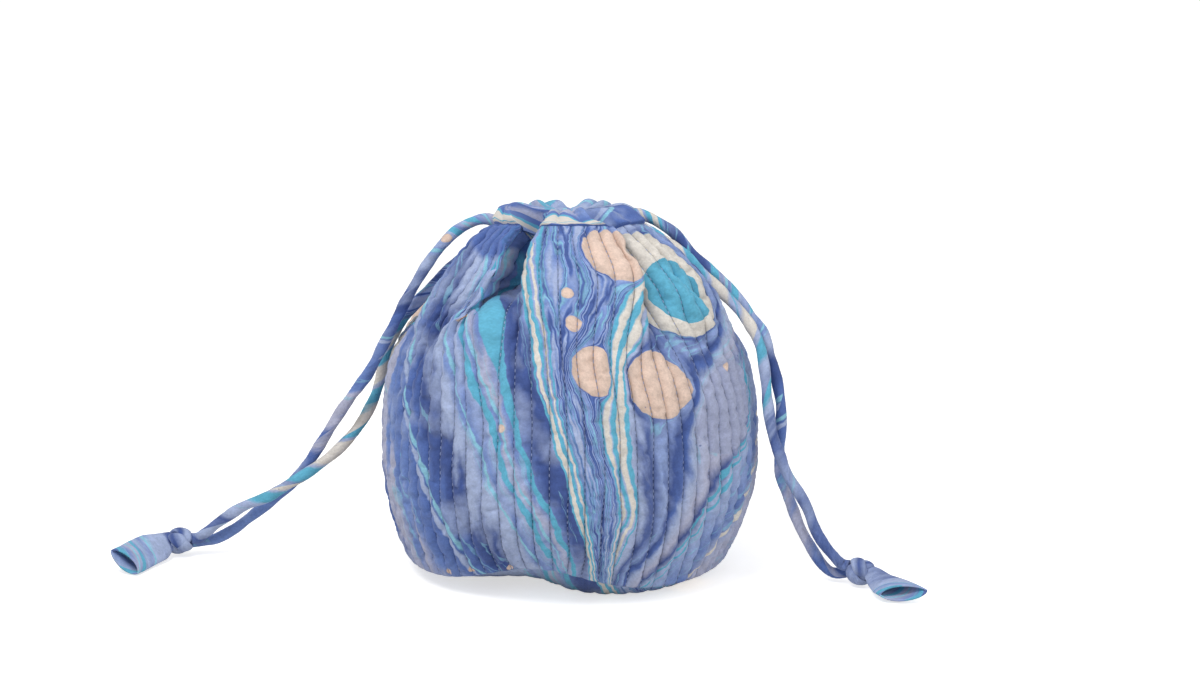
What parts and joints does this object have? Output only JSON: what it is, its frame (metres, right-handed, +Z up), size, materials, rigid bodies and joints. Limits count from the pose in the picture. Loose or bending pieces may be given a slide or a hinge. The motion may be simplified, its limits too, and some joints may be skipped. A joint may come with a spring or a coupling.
{
  "type": "quilted drawstring pouch",
  "caption": "Soft round pouch of channel-quilted marbled cotton, standing on a round base, its gathered mouth drawn shut by cloth drawstrings with knotted, tabbed ends.",
  "frame": {"origin": "middle of the base's flat underside", "axes": "+Z up to the mouth, -Y the front, +X the side where the right drawstring leaves"},
  "size_m": [0.426, 0.1974, 0.1981],
  "materials": {
    "quilted_cotton": "matt printed cotton, channel quilted",
    "casing_cotton": "matt printed cotton",
    "cord_cotton": "matt printed cotton tube"
  },
  "bodies": {
    "root": {"front_panel": "quilted_cotton", "back_panel": "quilted_cotton", "base_panel": "quilted_cotton", "front_casing": "casing_cotton", "back_casing": "casing_cotton", "left_drawstring": "cord_cotton", "right_drawstring": "cord_cotton", "left_knot": "cord_cotton", "right_knot": "cord_cotton", "left_tab": "cord_cotton", "right_tab": "cord_cotton"}
  },
  "joints": []
}
